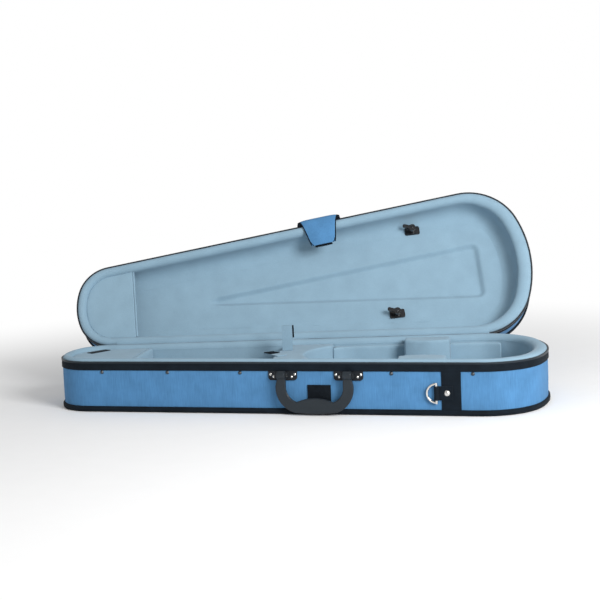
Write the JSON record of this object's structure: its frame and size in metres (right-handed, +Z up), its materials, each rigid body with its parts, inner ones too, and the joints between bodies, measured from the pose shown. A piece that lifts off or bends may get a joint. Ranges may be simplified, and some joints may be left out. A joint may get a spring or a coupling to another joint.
{
  "type": "violin case",
  "caption": "Dart-shaped violin case standing open, with a padded base, hinged bow lid, accessory compartment, zip, closing flap and swinging carry handle.",
  "frame": {"origin": "on the underside, on the case's centreline, half way along its length", "axes": "+X towards the wide end, +Y towards the hinge side, +Z up; the handle is on the -Y side"},
  "size_m": [0.797, 0.426, 0.3121],
  "materials": {
    "foam_core": "rigid foam, hidden under cloth and velour",
    "blue_cover": "blue woven cover, fine upright rib",
    "black_binding": "black woven tape and webbing",
    "zip_coil": "black nylon coil",
    "velour": "grey-blue velour",
    "strap_velcro": "black hook-and-loop tape",
    "handle_leather": "black satin leather grain",
    "bracket_plastic": "black moulded plastic",
    "nickel": "nickel plate",
    "dark_stud": "dark plated steel",
    "clip_plastic": "black moulded plastic, glossy"
  },
  "bodies": {
    "base": {"base_shell": "foam_core", "base_side_cover": "blue_cover", "base_bottom_cover": "blue_cover", "base_piping": "black_binding", "base_zip_tape": "black_binding", "base_zip_coil": "zip_coil", "base_hinge_tape": "black_binding", "base_rim_lining": "velour", "hinge_lining": "velour", "base_floor_lining": "velour", "compartment_partition": "velour", "neck_block": "velour", "body_cushion": "velour", "body_ledge_rear": "velour", "body_ledge_front": "velour", "waist_block_rear": "velour", "waist_block_front": "velour", "handle_bracket_left": "bracket_plastic", "handle_bracket_right": "bracket_plastic", "handle_pins": "nickel", "bracket_rivets": "nickel", "flap_catch_patch": "strap_velcro", "side_webbing": "black_binding", "ring_tab": "black_binding", "ring_rivet": "nickel", "rim_studs": "dark_stud", "zip_slider_narrow": "dark_stud", "zip_slider_wide": "dark_stud"},
    "lid": {"lid_shell": "foam_core", "lid_side_cover": "blue_cover", "lid_top_cover": "blue_cover", "lid_piping": "black_binding", "lid_zip_tape": "black_binding", "lid_zip_coil": "zip_coil", "lid_hinge_tape": "black_binding", "lid_rim_lining": "velour", "lid_ceiling_lining": "velour", "bow_pocket": "velour", "bow_pocket_bead": "velour", "bow_clip_upper": "clip_plastic", "bow_clip_lower": "clip_plastic", "flap_anchor": "black_binding"},
    "closing_flap": {"closing_flap": "blue_cover", "flap_hook": "strap_velcro"},
    "handle": {"handle": "handle_leather"},
    "d_ring": {"d_ring": "nickel"},
    "compartment_lid": {"compartment_lid": "velour", "compartment_pull": "black_binding"},
    "neck_strap_rear": {"neck_strap_rear": "velour", "neck_strap_rear_loop": "strap_velcro"},
    "neck_strap_front": {"neck_strap_front": "velour", "neck_strap_front_hook": "strap_velcro"},
    "bow_spinner_upper": {"bow_spinner_upper": "clip_plastic"},
    "bow_spinner_lower": {"bow_spinner_lower": "clip_plastic"},
    "zip_pull_narrow": {"zip_pull_narrow": "dark_stud"},
    "zip_pull_wide": {"zip_pull_wide": "dark_stud"}
  },
  "joints": [
    {"name": "lid_hinge", "type": "hinge", "parent": "base", "child": "lid", "pos_m": [0, 0.1039, 0.08], "axis": [0.9957, 0.0931, 0], "range_deg": [0, 117.4]},
    {"name": "flap_fold", "type": "hinge", "parent": "lid", "child": "closing_flap", "pos_m": [0.01003, 0.20401, 0.27419], "axis": [-0.9705, -0.1764, -0.1645], "range_deg": [0, 95]},
    {"name": "handle_swing", "type": "hinge", "parent": "base", "child": "handle", "pos_m": [0.03897, -0.11678, 0.0615], "axis": [-0.9957, 0.0931, 0], "range_deg": [0, 105]},
    {"name": "d_ring_swing", "type": "hinge", "parent": "base", "child": "d_ring", "pos_m": [0.22185, -0.12663, 0.034], "axis": [0, 0, 1], "range_deg": [0, 130]},
    {"name": "compartment_lid_hinge", "type": "hinge", "parent": "base", "child": "compartment_lid", "pos_m": [-0.266, 0, 0.078], "axis": [0, -1, 0], "range_deg": [-100, 0]},
    {"name": "neck_strap_rear_fold", "type": "hinge", "parent": "base", "child": "neck_strap_rear", "pos_m": [-0.0235, 0.0263, 0.0763], "axis": [1, 0, 0], "range_deg": [0, 85]},
    {"name": "neck_strap_front_fold", "type": "hinge", "parent": "base", "child": "neck_strap_front", "pos_m": [-0.024, -0.027, 0.0763], "axis": [-0.7547, -0.6561, 0], "range_deg": [-95, 0]},
    {"name": "bow_spinner_upper_turn", "type": "hinge", "parent": "lid", "child": "bow_spinner_upper", "pos_m": [0.16916, 0.23905, 0.25382], "axis": [0.0826, -0.884, 0.4602], "range_deg": [-90, 90]},
    {"name": "bow_spinner_lower_turn", "type": "hinge", "parent": "lid", "child": "bow_spinner_lower", "pos_m": [0.14484, 0.16606, 0.11799], "axis": [0.0826, -0.884, 0.4602], "range_deg": [-90, 90]},
    {"name": "zip_pull_narrow_swing", "type": "hinge", "parent": "base", "child": "zip_pull_narrow", "pos_m": [-0.37503, 0.05952, 0.0759], "axis": [0.7029, 0.7113, 0], "range_deg": [0, 110]},
    {"name": "zip_pull_wide_swing", "type": "hinge", "parent": "base", "child": "zip_pull_wide", "pos_m": [0.3467, 0.11969, 0.0759], "axis": [0.8225, -0.5687, 0], "range_deg": [0, 110]}
  ],
  "couplings": [
    {"joint": "flap_fold", "follows": "lid_hinge", "ratio": 0.80919}
  ]
}
